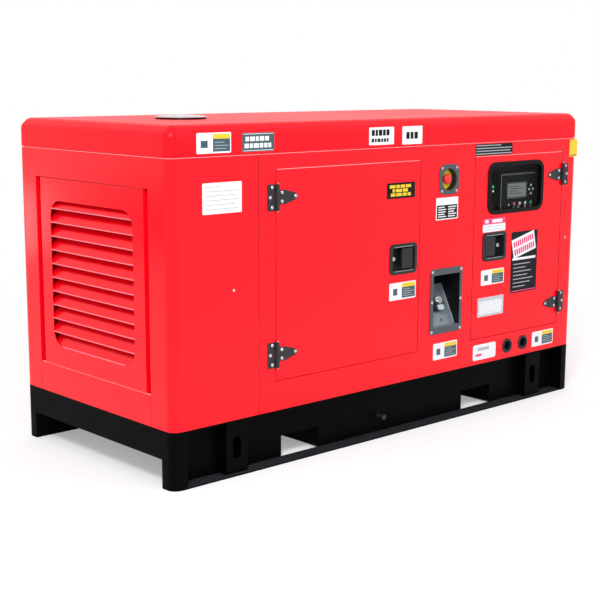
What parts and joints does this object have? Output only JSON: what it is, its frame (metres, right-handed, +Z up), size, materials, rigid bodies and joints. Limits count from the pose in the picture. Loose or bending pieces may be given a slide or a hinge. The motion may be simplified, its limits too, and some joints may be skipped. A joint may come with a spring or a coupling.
{
  "type": "silent diesel generator set",
  "caption": "Soundproofed diesel generator set on a forklift skid, with hinged service doors, louvred ends, a control panel behind a window and a recessed fuel filler.",
  "frame": {"origin": "centre of the bounding box's footprint, on the surface the skid stands on", "axes": "+X along the length away from the air outlet louvres, -Y out of the control side, +Z up"},
  "size_m": [2.2, 0.98, 1.2393],
  "materials": {
    "red_paint": "gloss powder coat",
    "skid_black": "satin black paint",
    "black_hardware": "black powder coat on zinc die casting",
    "black_rubber": "moulded matt",
    "grey_plastic": "moulded, fine texture",
    "controller_black": "moulded, fine texture",
    "zinc_plate": "bright zinc",
    "clear_pane": "lightly smoked acrylic",
    "engine_paint": "blue-grey engine enamel on castings",
    "shaft_steel": "machined",
    "bright_aluminium": "satin spun sheet",
    "radiator_black": "black heat-proof paint",
    "tank_black": "satin",
    "button_red": "moulded gloss",
    "key_pale": "moulded"
  },
  "bodies": {
    "canopy": {"skid_rail_front": "skid_black", "skid_rail_back": "skid_black", "skid_end_left": "skid_black", "skid_end_right": "skid_black", "fork_tunnel_left": "skid_black", "fork_tunnel_right": "skid_black", "fuel_tank": "tank_black", "drain_pipe": "black_hardware", "engine_bearer": "skid_black", "left_end_frame": "red_paint", "left_lower_panel": "red_paint", "louvre_panel_left": "red_paint", "front_panel": "red_paint", "back_panel": "red_paint", "back_access_panel": "red_paint", "right_end_panel": "red_paint", "louvre_panel_right": "red_paint", "roof_panel": "red_paint", "engine_door_upper_hinge_leaf": "black_hardware", "engine_door_lower_hinge_leaf": "black_hardware", "control_door_upper_hinge_leaf": "black_hardware", "control_door_lower_hinge_leaf": "black_hardware", "control_box": "skid_black", "controller": "controller_black", "stop_guard": "grey_plastic", "filler_pocket": "grey_plastic", "outlet_grommet_left": "black_rubber", "outlet_grommet_right": "black_rubber", "engine_block": "engine_paint", "generator_housing": "engine_paint", "radiator": "radiator_black", "muffler": "bright_aluminium", "air_cleaner": "radiator_black", "battery": "tank_black"},
    "engine_door": {"engine_door": "red_paint", "engine_door_upper_hinge_strap": "black_hardware", "engine_door_lower_hinge_strap": "black_hardware", "engine_door_latch_cup": "black_hardware"},
    "engine_latch_paddle": {"engine_door_latch_paddle": "black_hardware"},
    "engine_latch_lock": {"engine_door_latch_lock": "zinc_plate"},
    "engine_latch_bolt": {"engine_door_latch_bolt": "zinc_plate"},
    "control_door": {"control_door": "red_paint", "control_door_upper_hinge_strap": "black_hardware", "control_door_lower_hinge_strap": "black_hardware", "control_door_latch_cup": "black_hardware", "window_gasket": "black_rubber", "window_pane": "clear_pane"},
    "control_latch_paddle": {"control_door_latch_paddle": "black_hardware"},
    "control_latch_lock": {"control_door_latch_lock": "zinc_plate"},
    "control_latch_bolt": {"control_door_latch_bolt": "zinc_plate"},
    "stop_stem": {"stop_stem": "black_hardware"},
    "stop_head": {"stop_head": "button_red"},
    "fuel_cap": {"fuel_cap": "black_hardware"},
    "roof_lid": {"roof_lid": "bright_aluminium"},
    "key_stop": {"key_stop": "key_pale"},
    "key_manual": {"key_manual": "key_pale"},
    "key_auto": {"key_auto": "key_pale"},
    "key_start": {"key_start": "key_pale"},
    "drive_train": {"generator_shaft": "shaft_steel", "cooling_fan": "radiator_black"}
  },
  "joints": [
    {"name": "engine_door_swing", "type": "hinge", "parent": "canopy", "child": "engine_door", "pos_m": [-0.644, -0.483, 0.6875], "axis": [0, 0, -1], "range_deg": [0, 120]},
    {"name": "engine_latch_pull", "type": "hinge", "parent": "engine_door", "child": "engine_latch_paddle", "pos_m": [0.0475, -0.469, 0.691], "axis": [0, 0, 1], "range_deg": [0, 35], "stiffness_Nm_per_rad": 0.2, "springref_deg": -5.73},
    {"name": "engine_latch_key", "type": "hinge", "parent": "engine_door", "child": "engine_latch_lock", "pos_m": [-0.0385, -0.463, 0.691], "axis": [0, -1, 0], "range_deg": [0, 90]},
    {"name": "engine_bolt_slide", "type": "slide", "parent": "engine_door", "child": "engine_latch_bolt", "axis": [1, 0, 0], "range_m": [-0.014, 0]},
    {"name": "control_door_swing", "type": "hinge", "parent": "canopy", "child": "control_door", "pos_m": [0.991, -0.483, 0.6875], "axis": [0, 0, 1], "range_deg": [0, 120]},
    {"name": "control_latch_pull", "type": "hinge", "parent": "control_door", "child": "control_latch_paddle", "pos_m": [0.501, -0.469, 0.691], "axis": [0, 0, -1], "range_deg": [0, 35], "stiffness_Nm_per_rad": 0.2, "springref_deg": -5.73},
    {"name": "control_latch_key", "type": "hinge", "parent": "control_door", "child": "control_latch_lock", "pos_m": [0.587, -0.463, 0.691], "axis": [0, -1, 0], "range_deg": [0, 90]},
    {"name": "control_bolt_slide", "type": "slide", "parent": "control_door", "child": "control_latch_bolt", "axis": [1, 0, 0], "range_m": [0, 0.014]},
    {"name": "stop_press", "type": "slide", "parent": "canopy", "child": "stop_stem", "axis": [0, 1, 0], "range_m": [0, 0.005]},
    {"name": "stop_twist", "type": "hinge", "parent": "stop_stem", "child": "stop_head", "pos_m": [0.2565, -0.4613, 0.9815], "axis": [0, -1, 0], "range_deg": [-45, 0]},
    {"name": "fuel_cap_turn", "type": "hinge", "parent": "canopy", "child": "fuel_cap", "pos_m": [0.254, -0.41718, 0.47013], "axis": [0, -0.8956, 0.4449], "range_deg": [0, 90]},
    {"name": "roof_lid_swing", "type": "hinge", "parent": "canopy", "child": "roof_lid", "pos_m": [-0.694, 0.082, 1.2233], "axis": [0, 0, 1], "range_deg": [0, 110]},
    {"name": "key_stop_press", "type": "slide", "parent": "canopy", "child": "key_stop", "axis": [0, 1, 0], "range_m": [0, 0.001], "stiffness_N_per_m": 300, "springref_m": -0.001},
    {"name": "key_manual_press", "type": "slide", "parent": "canopy", "child": "key_manual", "axis": [0, 1, 0], "range_m": [0, 0.001], "stiffness_N_per_m": 300, "springref_m": -0.001},
    {"name": "key_auto_press", "type": "slide", "parent": "canopy", "child": "key_auto", "axis": [0, 1, 0], "range_m": [0, 0.001], "stiffness_N_per_m": 300, "springref_m": -0.001},
    {"name": "key_start_press", "type": "slide", "parent": "canopy", "child": "key_start", "axis": [0, 1, 0], "range_m": [0, 0.001], "stiffness_N_per_m": 300, "springref_m": -0.001},
    {"name": "drive_train_spin", "type": "hinge", "parent": "canopy", "child": "drive_train", "pos_m": [0.01, 0, 0.56], "axis": [1, 0, 0], "continuous": true}
  ],
  "couplings": [
    {"joint": "engine_bolt_slide", "follows": "engine_latch_pull", "m_per_rad": -0.0229},
    {"joint": "control_bolt_slide", "follows": "control_latch_pull", "m_per_rad": 0.0229}
  ]
}
